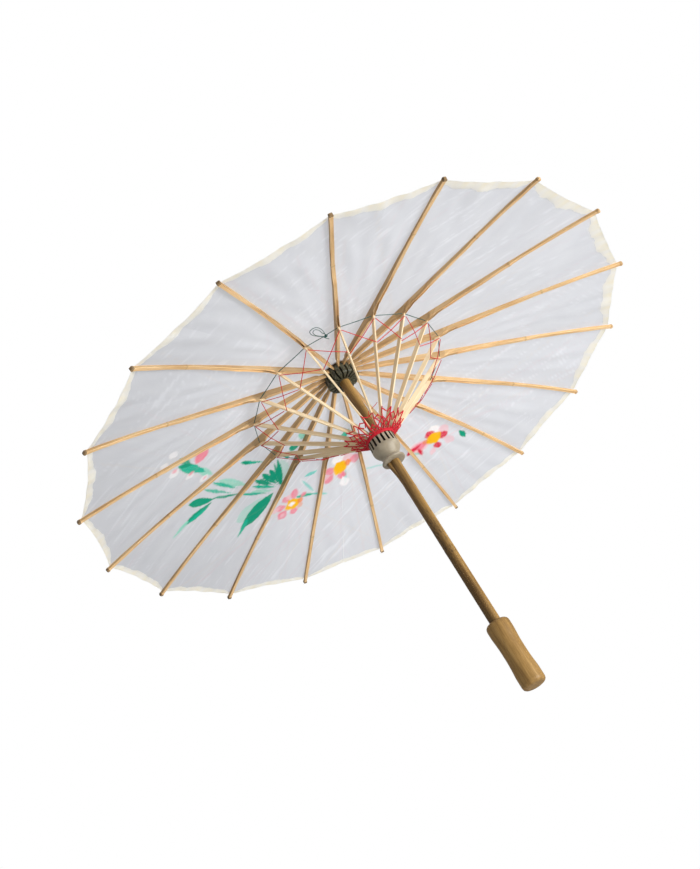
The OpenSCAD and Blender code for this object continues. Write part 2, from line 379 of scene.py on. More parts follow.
BAMBOO = wood("bamboo", (0.60, 0.35, 0.15), (0.84, 0.56, 0.28), (0.94, 0.70, 0.42),
              rough=0.55, tint="tint")
PALE = wood("pale_bamboo", (0.76, 0.56, 0.32), (0.88, 0.71, 0.46), (0.96, 0.82, 0.58),
            rough=0.55, bands=0.25, fibre=0.22, tint="tint")
SHAFT = wood("shaft_bamboo", (0.29, 0.15, 0.034), (0.51, 0.30, 0.085), (0.66, 0.42, 0.15),
             rough=0.50, along=10, round_it=700, specks=0.95, bands=0.6, coat=0.03, tint="tint")
TURNED = wood("turned_wood", (0.25, 0.135, 0.036), (0.38, 0.22, 0.066), (0.50, 0.31, 0.11),
              rough=0.46, along=14, round_it=620, bands=0.5, fibre=0.75, coat=0.06)
IVORY = plain("ivory_paint", (0.29, 0.24, 0.165), (0.38, 0.325, 0.235), 90, 0.5)
# painted shade for the floors and walls of the runner's slots
SLOT_SHADE = plain("slot_shade", (0.02, 0.017, 0.012), (0.05, 0.04, 0.03), 200, 0.8)
PEG = plain("peg_wood", (0.14, 0.08, 0.03), (0.24, 0.14, 0.06), 200, 0.6)
NOTCH = plain("black_notch", (0.010, 0.010, 0.005), (0.115, 0.110, 0.062), 420, 0.55, 0.4)
STEEL = plain("steel_wire", (0.45, 0.45, 0.46), (0.6, 0.6, 0.61), 300, 0.35, metal=1.0)
RED = thread("red_thread", (0.42, 0.003, 0.012), (0.66, 0.008, 0.024), sheen=0.0)
GREEN = thread("green_thread", (0.006, 0.05, 0.04), (0.02, 0.12, 0.10), sheen=0.1)
CLOTH = cloth("silk_cloth")
HEM = cloth("hem_cloth", 0.6)

for node, material in (("top_notch", NOTCH), ("notch_wire", STEEL), ("stop_pin", STEEL),
                       ("runner_wire", STEEL), ("catch_pin", PEG)):
    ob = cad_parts[node]
    ob.data.materials.clear()
    ob.data.materials.append(material)

# ---- the painting

JADE = (0.0, 0.33, 0.19)
FERN = (0.0, 0.46, 0.29)
MINT = (0.28, 0.68, 0.53)
TEAL = (0.20, 0.66, 0.58)
PINK = (0.90, 0.22, 0.30)
BLUSH = (0.90, 0.56, 0.60)
REDDISH = (0.74, 0.01, 0.05)
YELLOW = (1.0, 0.52, 0.0)
ORANGE = (0.92, 0.24, 0.04)
WHITE = (0.98, 0.95, 0.94)
SILK = (0.73, 0.74, 0.77)
# the way towards the side of the cloth that is painted darker, as painted shade
SHADE_WAY = (0.35, 0.94)  # the way towards the greyer side of the cloth

# a stroke: start and end on the cloth seen from above, in millimetres from the shaft,
# its half width, the fullest point along it, its colour and how thickly it is laid
LEAVES = [
    ((198, 90), (230, 144), 15, 0.6, MINT, 0.45),
    ((134, 78), (182, 60), 9, 0.5, MINT, 0.35),
    ((197, 84), (248, 136), 13, 0.5, JADE, 1.0),
    ((232, 126), (262, 140), 4.5, 0.3, FERN, 0.9),
    ((188, 71), (132, 84), 5, 0.42, JADE, 1.0),
    ((184, 73), (138, 89), 2.6, 0.5, JADE, 0.95),
    ((186, 74), (148, 95), 4.6, 0.72, JADE, 1.0),
    ((184, 77), (150, 108), 5.0, 0.66, JADE, 1.0),
    ((184, 81), (158, 119), 4.6, 0.7, JADE, 1.0),
    ((187, 80), (168, 124), 2.8, 0.55, FERN, 0.95),
    ((192, 84), (178, 126), 4, 0.6, MINT, 0.7),
    ((194, 92), (174, 146), 2.2, 0.6, FERN, 0.9),
    ((175, 140), (157, 192), 2.6, 0.6, JADE, 0.85),
    ((160, 184), (150, 231), 8, 0.66, JADE, 1.0),
    ((163, 192), (188, 236), 6, 0.5, JADE, 0.9),
    ((170, 196), (186, 230), 3.5, 0.5, FERN, 0.9),
    ((182, 230), (206, 254), 3, 0.25, MINT, 0.9),
    ((162, 132), (126, 184), 7, 0.6, MINT, 0.75),
    ((160, 148), (124, 195), 3.2, 0.6, FERN, 0.8),
    ((164, 158), (131, 209), 2.8, 0.6, FERN, 0.75),
    ((108, 196), (80, 224), 6, 0.55, MINT, 0.8),
    ((94, 208), (57, 256), 8, 0.6, FERN, 0.9),
    ((66, 232), (58, 256), 4, 0.6, JADE, 0.85),
    ((66, 234), (42, 256), 5, 0.6, JADE, 0.85),
    ((135, 92), (108, 149), 3.4, 0.8, FERN, 0.95),
    ((116, 134), (109, 147), 3, 0.5, JADE, 0.9),
    ((98, 52), (108, 36), 6, 0.5, MINT, 0.85),
    ((119, 66), (120, 48), 7, 0.5, JADE, 0.95),
    ((130, 70), (138, 64), 4, 0.5, FERN, 0.85),
    ((114, -36), (132, -22), 5, 0.5, FERN, 0.9),
    ((149, -227), (163, -241), 4.5, 0.5, JADE, 1.0),
    ((181, 10), (185, 32), 3.2, 0.4, TEAL, 0.9),
    ((186, 38), (200, 30), 4, 0.5, WHITE, 0.25),
    ((190, 36), (221, 11), 2.4, 0.5, TEAL, 0.7),
    ((221, 42), (227, 6), 3.0, 0.35, FERN, 0.95),
    ((226, 14), (235, -16), 2.0, 0.5, TEAL, 0.95),
    ((203, -68), (197, -114), 1.5, 0.5, TEAL, 0.6),
    ((182, -152), (191, -168), 3, 0.5, TEAL, 0.8),
    ((190, -40), (224, -44), 2.0, 0.6, TEAL, 0.7),
    ((144, -230), (168, -186), 1.0, 0.5, BLUSH, 0.5),
]
PETALS = [
    # the flower by rib 17
    ((152, -190), (132, -176), 10, 0.55, WHITE, 0.95),
    ((150, -190), (134, -204), 10, 0.6, BLUSH, 0.75),
    ((158, -184), (143, -170), 8.5, 0.55, REDDISH, 0.95),
    ((158, -190), (147, -206), 8, 0.5, REDDISH, 0.95),
    ((162, -184), (186, -146), 11, 0.55, BLUSH, 0.95),
    ((164, -180), (180, -154), 7, 0.6, PINK, 0.9),
    ((168, -166), (190, -146), 4.6, 0.65, REDDISH, 1.0),
    ((166, -190), (180, -199), 6.5, 0.55, REDDISH, 0.9),
    ((178, -163), (193, -173), 3.6, 0.5, REDDISH, 1.0),
    ((158, -200), (168, -222), 8, 0.6, BLUSH, 0.7),
    ((178, -192), (194, -188), 5, 0.5, BLUSH, 0.75),
    # the flower by rib 18
    ((182, -30), (160, -20), 11, 0.6, WHITE, 0.85),
    ((182, -34), (164, -48), 11, 0.6, BLUSH, 0.8),
    ((184, -22), (194, -6), 7.5, 0.6, PINK, 0.85),
    ((192, -34), (210, -36), 7.5, 0.6, PINK, 0.9),
    ((196, -20), (214, -8), 6.5, 0.6, PINK, 0.85),
    ((178, -42), (172, -62), 8.5, 0.6, PINK, 0.75),
    ((198, -14), (206, 0), 5.5, 0.5, BLUSH, 0.8),
    ((206, -36), (226, -46), 8, 0.6, WHITE, 0.85),
    # the flower by rib 01
    ((226, 46), (204, 46), 7, 0.6, PINK, 0.85),
    ((228, 54), (216, 64), 6, 0.6, PINK, 0.8),
    ((222, 56), (212, 56), 5, 0.5, BLUSH, 0.8),
    ((224, 34), (218, 24), 4, 0.5, PINK, 0.9),
    ((234, 58), (236, 76), 6.5, 0.6, PINK, 0.85),
    ((242, 56), (257, 69), 8, 0.6, PINK, 0.85),
    ((248, 60), (254, 66), 3.5, 0.5, BLUSH, 0.7),
    ((240, 46), (254, 42), 7, 0.6, PINK, 0.85),
    ((236, 38), (244, 29), 5, 0.5, ORANGE, 0.5),
    ((232, 66), (241, 84), 5, 0.6, BLUSH, 0.8),
    # buds and pale blossoms at the end of the branch
    ((68, 228), (42, 212), 10, 0.5, PINK, 0.95),
    ((32, 262), (20, 274), 7, 0.5, WHITE, 0.55),
    ((48, 274), (38, 286), 6, 0.5, WHITE, 0.5),
    ((62, 256), (74, 268), 7, 0.5, WHITE, 0.6),
    ((82, 228), (92, 242), 6, 0.5, WHITE, 0.6),
    ((102, 204), (113, 216), 6, 0.5, WHITE, 0.6),
    ((61, 258), (66, 266), 3.5, 0.5, PINK, 0.6),
    ((80, 230), (86, 238), 3.5, 0.5, PINK, 0.7),
    ((104, 206), (110, 212), 2, 0.5, PINK, 0.6),
]
CENTRES = [
    ((145, -193), (170, -176), 11, 0.5, YELLOW, 1.0),
    ((148, -180), (168, -190), 10, 0.5, YELLOW, 0.95),
    ((160, -174), (170, -170), 4, 0.5, ORANGE, 0.7),
    ((173, -36), (200, -24), 11, 0.5, YELLOW, 1.0),
    ((176, -22), (194, -38), 10, 0.5, YELLOW, 0.95),
    ((172, -40), (186, -44), 5, 0.5, ORANGE, 0.9),
    ((240, 60), (228, 33), 9.5, 0.5, YELLOW, 1.0),
    ((224, 56), (238, 38), 8, 0.5, YELLOW, 0.95),
    ((233, 39), (228, 29), 6, 0.5, ORANGE, 0.8),
    ((234, 54), (232, 43), 4, 0.5, WHITE, 1.0),
]


def hash_noise(x, y, seed):
    """Smooth, repeatable noise between 0 and 1 on arrays of points."""
    def corner(i, j):
        h = np.sin(i * 127.1 + j * 311.7 + seed * 74.7) * 43758.5453
        return h - np.floor(h)
    i, j = np.floor(x), np.floor(y)
    fx, fy = x - i, y - j
    fx, fy = fx * fx * (3 - 2 * fx), fy * fy * (3 - 2 * fy)
    top = corner(i, j) * (1 - fx) + corner(i + 1, j) * fx
    low = corner(i, j + 1) * (1 - fx) + corner(i + 1, j + 1) * fx
    return top * (1 - fy) + low * fy


def painted(x, y):
    """The cloth's colour at points seen from above, in millimetres, with painted highlights along
    pale streaks and painted shade towards one side.
    """
    # painted highlights along pale diagonal streaks, with random cloudy tone
    highlight_streaks = hash_noise(x * 0.021 + y * 0.017, (x - y * 1.2) * 0.22, 3)
    cloud = hash_noise(x * 0.013, y * 0.013, 5)
    # painted shade: the cloth is darker towards one side
    painted_shade = np.clip((x * SHADE_WAY[0] + y * SHADE_WAY[1] - 80) / 250, 0, 1)
    light = 1 + 0.11 * np.clip((highlight_streaks - 0.74) / 0.2, 0, 1) + 0.05 * (cloud - 0.5)
    colour = np.array(SILK) * light[:, None]
    colour = colour * (1 - 0.14 * painted_shade)[:, None]
    for number, (a, b, half, full, tone, thick) in enumerate(LEAVES + PETALS + CENTRES):
        a, b = np.array(a, float), np.array(b, float)
        d = b - a
        length = np.linalg.norm(d)
        d /= length
        t = ((x - a[0]) * d[0] + (y - a[1]) * d[1]) / length
        s = -(x - a[0]) * d[1] + (y - a[1]) * d[0]
        inside = np.clip(t, 0.0001, 0.9999)
        power = math.log(0.5) / math.log(full)
        wide = half * np.sin(math.pi * inside ** power) ** 0.8
        wobble = 0.8 * (hash_noise(x * 0.35, y * 0.35, number) - 0.5) * min(half, 4) * 0.5
        edge = np.abs(s) + wobble - wide
        edge = np.where((t < 0) | (t > 1), np.maximum(edge, 1.5), edge)
        soft = 1.6 if number < len(LEAVES) else 3.2
        cover = np.clip(0.5 - edge / soft, 0, 1) * thick
        streak = hash_noise((t * length) * 0.08, s * 1.1, number + 40)
        low = 0.92 if number < len(LEAVES) else 0.80
        cover = (cover * (low + 0.35 * streak)).clip(0, 1)[:, None]
        colour = colour * (1 - cover) + np.array(tone) * cover
    return colour


# ---- canopy

def ridge(azimuth, rho):
    """The cloth over a rib at the distance rho from the shaft."""
    u = (rho - HUB_R - CLOTH_V * math.sin(SLOPE)) / math.cos(SLOPE)
    return rib_point(azimuth, u, CLOTH_V)


GORE_LENGTH = 0.394
WIDE_SIDE = 195  # the azimuth, in degrees, where the rim is straightest and the hem widest


def edge_at(i, t):
    """Where the cloth ends, a share t of the way from rib i to the next."""
    sag = 0.0033 - 0.0017 * math.cos(math.radians((i + 0.5) * 20) - math.radians(WIDE_SIDE))
    return CLOTH_OUT - sag * 4 * t * (1 - t)


def cloth_point(i, t, share, inner=CLOTH_IN):
    """A point of the cloth: t runs from rib i to the next, share from the middle to the rim."""
    rho = inner + (edge_at(i, t) - inner) * share
    a, b = ridge(i * STEP, rho), ridge((i + 1) * STEP, rho)
    p = a * (1 - t) + b * t
    slack = 4 * t * (1 - t)
    az = (i + t) * 20.0
    lines = math.sin(rho * 150 + az * 0.5) * 0.35 + math.sin(rho * 61 + az * 1.3 + 2) * 0.65
    folds = math.sin(az * 0.9 + rho * 34) * math.sin(az * 0.31 - rho * 22 + 1.3)
    far = rho / CLOTH_OUT
    p[2] -= slack * far * (0.0022 + 0.0005 * lines + 0.0011 * folds)
    return p


def hem_width(az, t):
    """How wide the turned edge is at the azimuth az, a share t from the nearest rib."""
    wide = 0.0055 + 0.0088 * math.sin(math.pi * min(0.5, t)) ** 0.8
    wide += 0.0018 * math.sin(az * 0.9) + 0.0007 * math.sin(az * 2.3 + 1)
    wide += 0.0004 * math.sin(az * 5.1)
    return wide * (0.82 + 0.30 * math.cos(math.radians(az - WIDE_SIDE)))


def strip(i):
    """The cloth that goes with rib i, half a gore on each side of it."""
    busy = i in (0, 1, 2, 3, 4, 15, 16, 17)
    rows, cols = (200, 60) if busy else (90, 28)
    shares = [k / rows for k in range(rows + 1)]
    verts, uvs = [], []
    for share in shares:
        for c in range(-cols // 2, cols // 2 + 1):
            t = c / cols
            verts.append(cloth_point(i, t, share) if t >= 0 else
                         cloth_point(i - 1, 1 + t, share))
            uvs.append((share * 0.39, t * share * 0.14 + i * 0.2))
    ob = mesh_piece(f"canopy_gore_{i + 1:02d}", verts, grid_faces(rows, cols), CLOTH,
                    f"rib_{i + 1:02d}", uvs=uvs, replaces=("canopy",), slot="cloth")
    v = np.array(verts) * 1000
    tone = painted(v[:, 0], v[:, 1])
    turned = np.array([[hem_width(i * 20 + c / cols * 20, abs(c) / cols) / GORE_LENGTH
                        for c in range(-cols // 2, cols // 2 + 1)]])
    rim = np.clip((np.array(shares)[:, None] - 1 + turned) / 0.006, 0, 1).ravel()
    tone = tone * (1 - rim[:, None]) + np.array((0.96, 0.95, 0.92)) * rim[:, None]
    colour_points(ob, "paint", tone)
    return ob


def hem(i):
    """The turned and glued edge under the cloth, on both sides of rib i."""
    parts, uvs, tones = [], [], []
    cols, rows = 16, 5
    for side in (-1, 1):
        verts = []
        for r in range(rows + 1):
            for c in range(cols + 1):
                t = 0.028 + (0.5 - 0.028) * c / cols
                az = i * 20 + side * t * 20
                wide = hem_width(az, t)
                g, tt = (i, t) if side > 0 else (i - 1, 1 - t)
                inner = edge_at(g, tt) - wide
                p = cloth_point(g, tt, r / rows, inner=inner)
                lift = 0.00035 + 0.0004 * (r == rows)
                verts.append(p - np.array([0, 0, lift]))
                uvs.append((r / rows * 0.01, t * 0.14 + i * 0.2))
                patch = 0.5 + 0.5 * math.sin(az * 0.83 + 2) * math.sin(az * 2.3)
                fade = 0.35 + 0.65 * (r / rows)
                strong = (0.04 + 0.52 * patch) * fade
                base = np.array((0.98, 0.97, 0.93))
                tones.append(base * (1 - strong) + np.array((1.0, 0.91, 0.66)) * strong)
        parts.append((verts, grid_faces(rows, cols)))
    verts, faces = joined(parts)
    ob = mesh_piece(f"hem_{i + 1:02d}", verts, faces, HEM, f"rib_{i + 1:02d}", uvs=uvs,
                    replaces=("canopy_hem",), slot="hem_cloth")
    colour_points(ob, "paint", tones)
    return ob


for i in range(RIBS):
    inner = rib_point(i * STEP, 0.07, 0.0, bend=False)
    tip = rib_point(i * STEP, RIB_END, 0.0, sway(i * STEP), bend=False)
    side = np.cross(tip - inner, rib_point(i * STEP, 0.07, 0.01, bend=False) - inner)
    side = tuple(side / np.linalg.norm(side))
    piece = strip(i)
    band = hem(i)
    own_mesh(piece)
    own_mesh(band)

# ---- ribs

HEAD_END = 0.0168    # the thin head in the notch ends here, in metres along the rib
DEEP_START = 0.1145  # the rib gets deeper here,
DEEP_U = 0.1326      # and is deepest here
CUT_U = 0.1376       # where the outer stick begins
CHEEK_END = 0.1559   # where the cheeks of the fork run out
KNEE_V = -0.0063     # the underside where the rib is deepest
GROOVE_V = -0.0011   # the bottom of the fork and of the groove past it
TAPER = 0.1609       # how fast the cheeks rise past the deepest place


def rib_section(half, low, high, soft, cheek=None, foot=None, slot=0.0):
    """The outline of a rib across its length. cheek and foot are the half width and the bottom
    of the forked part below the stick, and slot is how deep the fork is cut."""
    cheek = half if cheek is None else cheek
    foot = low - 0.00001 if foot is None else min(foot, low - 0.00001)
    top = foot + max(slot, 0.00002)
    gap = 0.00125 if slot > 0.0005 else cheek * 0.3
    s, k = soft, min(soft * 0.6, 0.0006, (low - foot) * 0.5 + 0.0001)
    right = [(half - s * 0.6, high), (half - s * 0.15, high - s * 0.3), (half, high - s),
             (half, (low + high) / 2), (half, low + s), (half - s * 0.25, low + s * 0.3),
             (max(cheek, half - s * 0.8), low), (cheek, low - 0.000005), (cheek, foot + k),
             (cheek - k * 0.8, foot), (gap, foot), (gap, top)]
    return ([(0, high + 0.00002)] + right + [(0, top + 0.00001)]
            + [(-w, v) for w, v in reversed(right)])


def rib(i):
    """Rib i: a head, a deep inner half, a fork, and a thin outer stick with a knot."""
    az = i * STEP
    rng = np.random.default_rng(100 + i)
    knot = JOINT_U + 0.145 + rng.uniform(-0.012, 0.012) + (0.02 if i % 3 == 0 else 0)
    rng.uniform(-0.01, 0.01)  # a spare draw, which keeps the later ones as they are
    kink = rng.uniform(-0.0005, 0.0005)
    # painted light and shade: each rib's sides are darker than its top and underside, and ribs 11
    # to 16, on the side the light comes from, are lighter
    pale = 10 <= i <= 15
    shaded_side_tone, lit_under_tone = (0.84, 1.14) if pale else (0.60, 1.06)
    us = [-0.0026, -0.0022, -0.0014, 0, 0.003, 0.008, 0.0135, 0.0165, 0.0172, 0.0184, 0.022]
    us += list(np.arange(0.026, 0.1145, 0.006)) + [0.1165, 0.1185, 0.1203, 0.1212, 0.1222]
    us += [0.125, 0.1296, 0.1334, 0.1370, 0.1378] + list(np.arange(0.1405, 0.1555, 0.003))
    us += [0.1557, 0.1561, 0.160, 0.165] + list(np.arange(0.170, RIB_END - 0.008, 0.0055))
    us += [RIB_END - 0.0075, RIB_END - 0.0068, RIB_END - 0.0056, RIB_END - 0.0046,
           RIB_END - 0.0036, RIB_END - 0.0012, RIB_END - 0.0004, RIB_END]
    us += [knot - 0.004, knot - 0.0022, knot - 0.0012, knot, knot + 0.0012, knot + 0.0022,
           knot + 0.004]
    us = sorted(us)
    rings, uvs, tones = [], [], []
    for u in us:
        if u < HEAD_END:
            low, high = -0.0024, 0.0030
            if u < 0:
                k = math.sqrt(max(0.0, 1 - (u / -0.00265) ** 2))
                low, high = -0.0024 * k - 0.00005, 0.0026 * k + 0.00005
            outline = rib_section(0.0012, low, high, 0.0005)
        elif u < 0.1375:
            t = (u - HEAD_END) / 0.0977
            half = 0.00205 if u > 0.0178 else 0.0016
            half += 0.00012 * math.sin(u * 140 + i)
            low, high = -0.0022 - 0.0024 * min(t, 1.0), RIB_TOP
            low += 0.0002 * math.sin(u * 75 + i * 1.7)
            if u > DEEP_START:
                low = -0.0046 - 0.0017 * min(1.0, (u - DEEP_START) / 0.0060)
            if u > DEEP_U:
                low = KNEE_V + (u - DEEP_U) * TAPER
            if u < 0.022:
                high = 0.0030 + 0.0015 * min(1, (u - HEAD_END) / 0.005)
            outline = rib_section(half, low, high, 0.0006,
                                  slot=GROOVE_V - low if u > 0.1206 else 0.0)
        else:
            t = (u - CUT_U) / (RIB_END - CUT_U)
            half = 0.00247 - 0.0001 * t
            low = -0.0032 + 0.0041 * min(1.0, (u - CUT_U) / 0.144)
            wave = max(0.0, math.sin(u * 62 + i * 2.3)) + 0.5 * max(0.0, math.sin(u * 130 + i))
            if u < 0.27:
                low -= 0.0005 * wave * min(1.0, (u - CUT_U) / 0.03)
            elif u > 0.336:
                low -= (0.0004 + 0.0003 * wave) * min(1.0, (u - 0.336) / 0.03)
            foot = KNEE_V + (u - DEEP_U) * TAPER + 0.0003 * math.sin(u * 400 + i)
            near = math.exp(-((u - knot) / 0.0022) ** 2)
            half += 0.00030 * near + 0.00012 * math.sin(u * 90 + i * 2)
            low -= 0.0003 * near * (u < 0.283)
            high = RIB_TOP
            end = RIB_END - u
            if end < 0.0048:
                half += 0.0002
                low -= 0.0004
                high += 0.0002
                low += 0.0010 * math.exp(-((end - 0.0056) / 0.0009) ** 2)
                half -= 0.0005 * math.exp(-((end - 0.0056) / 0.0009) ** 2)
            if end < 0.0010:
                half, low, high = half - 0.0007, low + 0.0006, high - 0.0006
            if u < CHEEK_END:
                outline = rib_section(half, low, high, 0.0008, cheek=0.00205, foot=foot,
                                      slot=GROOVE_V - foot)
            else:
                outline = rib_section(half, low, high, 0.0009, slot=max(0.0, GROOVE_V - low))
        shift = kink * math.exp(-((u - knot) / 0.05) ** 2) * (1 if u > 0.139 else 0)
        shift += 0.0003 * math.sin(u * 31 + i * 1.9) * float(outer_share(u))
        rings.append([rib_point(az, u, v, w + shift) for w, v in outline])
        ring_at = 0.0
        for k, (w, v) in enumerate(outline):
            if k:
                ring_at += math.hypot(w - outline[k - 1][0], v - outline[k - 1][1])
            uvs.append((u + i * 0.61, ring_at + i * 0.037))
            tone = shaded_side_tone if k in (3, 4, 5, 21, 22, 23) else lit_under_tone
            if u > 0.139:
                tone *= 1 - 0.25 * math.exp(-((u - knot) / 0.0012) ** 2)
                if RIB_END - u < 0.0045:
                    tone *= 0.85 if pale else 0.40
                elif RIB_END - u < 0.0066:
                    tone *= 1.12
                # painted shade inside the fork
                if 0.1375 < u < 0.1562 and 8 < k < 18:
                    tone *= 0.72
            # painted shade where the stretcher sits in the rib
            elif u > 0.118:
                tone *= 0.84
            warm = rng.uniform(0.97, 1.03)
            tones.append((tone * warm, tone * 0.99, tone * 0.97))
    verts, faces = loft(rings)
    ob = mesh_piece(f"rib_mesh_{i + 1:02d}", verts, faces, BAMBOO, f"rib_{i + 1:02d}", uvs=uvs,
                    replaces=(f"rib_{i + 1:02d}",), slot="bamboo")
    colour_points(ob, "tint", tones)


for i in range(RIBS):
    rib(i)

# ---- stretchers

FOOT = np.array([RUN_R, RUN_Z])
HEAD = np.array([JOINT_R, JOINT_Z])
REACH = float(np.linalg.norm(FOOT - HEAD))
ALONG = (FOOT - HEAD) / REACH
ABOVE = np.array([ALONG[1], -ALONG[0]])
if ABOVE[1] < 0:
    ABOVE = -ABOVE


def stretcher_point(i, s, n, w=0.0):
    """s along stretcher i from its joint, n towards the canopy, w across it."""
    r, z = HEAD + ALONG * s + ABOVE * n
    az = i * STEP
    return unit(az) * r + across(az) * w + np.array([0, 0, z])


def stretcher_up(i):
    """The way from stretcher i towards the canopy."""
    return unit(i * STEP) * ABOVE[0] + np.array([0, 0, ABOVE[1]])


def stretcher(i):
    """Stretcher i: a flat strip with rounded ends, a little bowed."""
    rng = np.random.default_rng(300 + i)
    h = 0.0031
    ss = [-0.0024, -0.0020, -0.0010, 0.0, 0.003, 0.006] + list(np.arange(0.012, 0.136, 0.008))
    ss += [REACH - 0.022, REACH - 0.012, REACH - 0.005, REACH, REACH + 0.001, REACH + 0.0018,
           REACH + 0.0023]
    bow = rng.uniform(-0.0004, 0.0004)
    rings, uvs, tones = [], [], []
    for s in ss:
        if s < 0:
            half = 0.0025 * math.sqrt(max(0.02, 1 - (s / -0.0025) ** 2))
        elif s < 0.006:
            half = 0.0025 + (h - 0.0025) * s / 0.006
        elif s <= REACH - 0.022:
            half = h
        elif s <= REACH:
            half = h - (h - 0.00235) * (s - REACH + 0.022) / 0.022
        else:
            half = 0.0024 * math.sqrt(max(0.02, 1 - ((s - REACH) / 0.0024) ** 2))
        w, c = 0.0011, 0.00028
        mid = bow * math.sin(math.pi * min(max(s / REACH, 0), 1))
        outline = [(-w + c, half), (w - c, half), (w, half - c), (w, 0), (w, -half + c),
                   (w - c, -half), (-w + c, -half), (-w, -half + c), (-w, 0), (-w, half - c)]
        rings.append([stretcher_point(i, s, n, x + mid) for x, n in outline])
        at = 0.0
        for k, (x, n) in enumerate(outline):
            if k:
                at += math.hypot(x - outline[k - 1][0], n - outline[k - 1][1])
            uvs.append((s + i * 0.43, at + i * 0.029))
            # painted highlight: the narrow edges are lighter than the broad faces
            tone = 1.0 if k in (0, 1, 5, 6) else 0.93
            # painted shade: the end that goes into the runner is darker
            tone *= 1 - 0.25 * (s > REACH - 0.014)
            tones.append((tone, tone * rng.uniform(0.985, 1.0), tone * 0.985))
    verts, faces = loft(rings)
    ob = mesh_piece(f"stretcher_mesh_{i + 1:02d}", verts, faces, PALE, f"stretcher_{i + 1:02d}",
                    uvs=uvs, replaces=(f"stretcher_{i + 1:02d}",), slot="pale_bamboo")
    colour_points(ob, "tint", tones)


for i in range(RIBS):
    stretcher(i)

# ---- shaft, handle and cap

def shaft_radius(z):
    """The shaft's radius at the height z: slightly uneven, with three knots."""
    full = 0.0076 + 0.0003 * min(1.0, max(0.0, (z - 0.412) / 0.038))
    r = full - 0.0002 + 0.0002 * math.sin(z * 9 + 1)
    for at in (0.205, 0.310, 0.452):
        r += 0.0003 * math.exp(-((z - at) / 0.0035) ** 2)
    return min(r, full)


def painted_side_shade(co):
    """Painted shade: the shaft is darker on the side turned from the light, and a little darker
    towards the bottom.
    """
    side = 0.5 + 0.5 * math.cos(math.atan2(co.y, co.x) - math.radians(100))
    side = max(0.0, min(1.0, side * 1.5 - 0.35 + 0.1 * math.sin(co.z * 60)))
    low = max(0.0, min(1.0, (0.34 - co.z) / 0.2))
    t = 1 - 0.60 * side - 0.08 * low
    return (t, t * (1 - 0.06 * side), t * (1 - 0.12 * side))


heights = list(np.arange(0.014, 0.5275, 0.0035)) + [0.5279]
shaft = lathe("shaft_mesh", [(shaft_radius(z), z) for z in heights], SHAFT, "frame", sides=64,
              replaces=("shaft",), slot="shaft_wood")
# painted shade on one side of the shaft
colour_points(shaft, "tint", [painted_side_shade(v.co) for v in shaft.data.vertices])

# profiles are (radius, height) pairs in millimetres
HANDLE_PROFILE = [(8, 0), (12, 0.15), (13.8, 0.8), (15.2, 2.2), (15.8, 4), (16, 6), (16, 18),
                  (15.8, 22), (15.5, 26), (15.1, 31), (14.85, 36), (14.7, 42), (14.7, 54),
                  (14.85, 60), (15.1, 65), (15.5, 70), (15.8, 74), (16, 78), (16, 86),
                  (15.8, 88), (15.2, 89.8), (13.8, 91.2), (12, 91.85), (9.5, 92), (7.7, 92)]
lathe("handle_mesh", [(r / 1000, z / 1000) for r, z in HANDLE_PROFILE], TURNED, "frame",
      replaces=("handle",), slot="turned_wood")

CAP_PROFILE = [(20, 0), (25, 0), (25.5, 0.5), (25.5, 1.1), (25, 1.8), (22, 2.6), (19, 3.4),
               (15.5, 4.3), (12.5, 5.4), (10.6, 6.6), (9.2, 8), (8.5, 9.3), (8.4, 10.5),
               (8.8, 11.6), (9.4, 12.5), (10.1, 13.7), (10.6, 15), (10.95, 16.5), (11, 18),
               (10.85, 19.8), (10.4, 21.5), (9.7, 23.4), (8.8, 25), (7.6, 26.5), (6.2, 27.6),
               (4.6, 28.4), (3, 28.8), (1.2, 29)]
lathe("crown_cap_mesh", [(r / 1000, 0.528 + z / 1000) for r, z in CAP_PROFILE], TURNED, "frame",
      replaces=("crown_cap",), slot="turned_wood")


RUNNER_LOW = 0.3582


def runner_mesh():
    """The runner: a slotted crown over a bulge, a neck and a rounded flange. The floors and
    walls of the slots are painted dark, as painted shade."""
    profile = [(7.66, 0), (14.5, 0), (15.6, 0.25), (16.4, 0.8), (16.9, 1.5), (17, 2.2),
               (16.7, 3.1), (16, 3.8), (15, 4.6), (14, 5.6), (13.5, 6.8), (13.4, 8), (13.6, 9.5),
               (14.2, 11.3), (15.2, 13.3), (16.5, 15.3), (17.8, 17), (18.9, 18.8), (19.7, 20.8),
               (20.1, 22.8), (20.15, 23.6), (20.15, 24.8), (20.14, 25), (19.8, 29.8),
               (19.6, 31.4), (19.5, 32.8), (19.5, 38), (19.5, 44), (19.4, 44.8), (18.9, 45.5),
               (18.2, 45.6), (11.7, 45.6), (7.66, 45.6)]
    half = (-10, -8, -6.5, -5.2, -4.55, -4.4, -2, 0, 2, 4.4, 4.55, 5.2, 6.5, 8)
    angles = [i * 20 + h for i in range(RIBS) for h in half]
    verts = []
    for r, z in profile:
        for k, a in enumerate(angles):
            inner = 5 <= k % len(half) <= 9 and z > 24.9
            out = min(r, 11.8) if inner else r
            verts.append(unit(math.radians(a)) * out / 1000
                         + np.array([0, 0, RUNNER_LOW + z / 1000]))
    n, faces = len(angles), []
    for i in range(len(profile)):
        j = (i + 1) % len(profile)
        for k in range(n):
            m = (k + 1) % n
            faces.append((i * n + k, i * n + m, j * n + m, j * n + k))
    ob = mesh_piece("runner_mesh", verts, faces, IVORY, "runner", replaces=("runner",),
                    slot="ivory_wood")
    # painted shade on the floors and walls of the slots
    ob.data.materials.append(SLOT_SHADE)
    for p in ob.data.polygons:
        c = p.center
        if math.hypot(c.x, c.y) > 0.0117 and abs(c.z - 0.3933) < 0.0104 and any(
                math.hypot(*ob.data.vertices[v].co[:2]) < 0.012 for v in p.vertices):
            p.material_index = 1


runner_mesh()


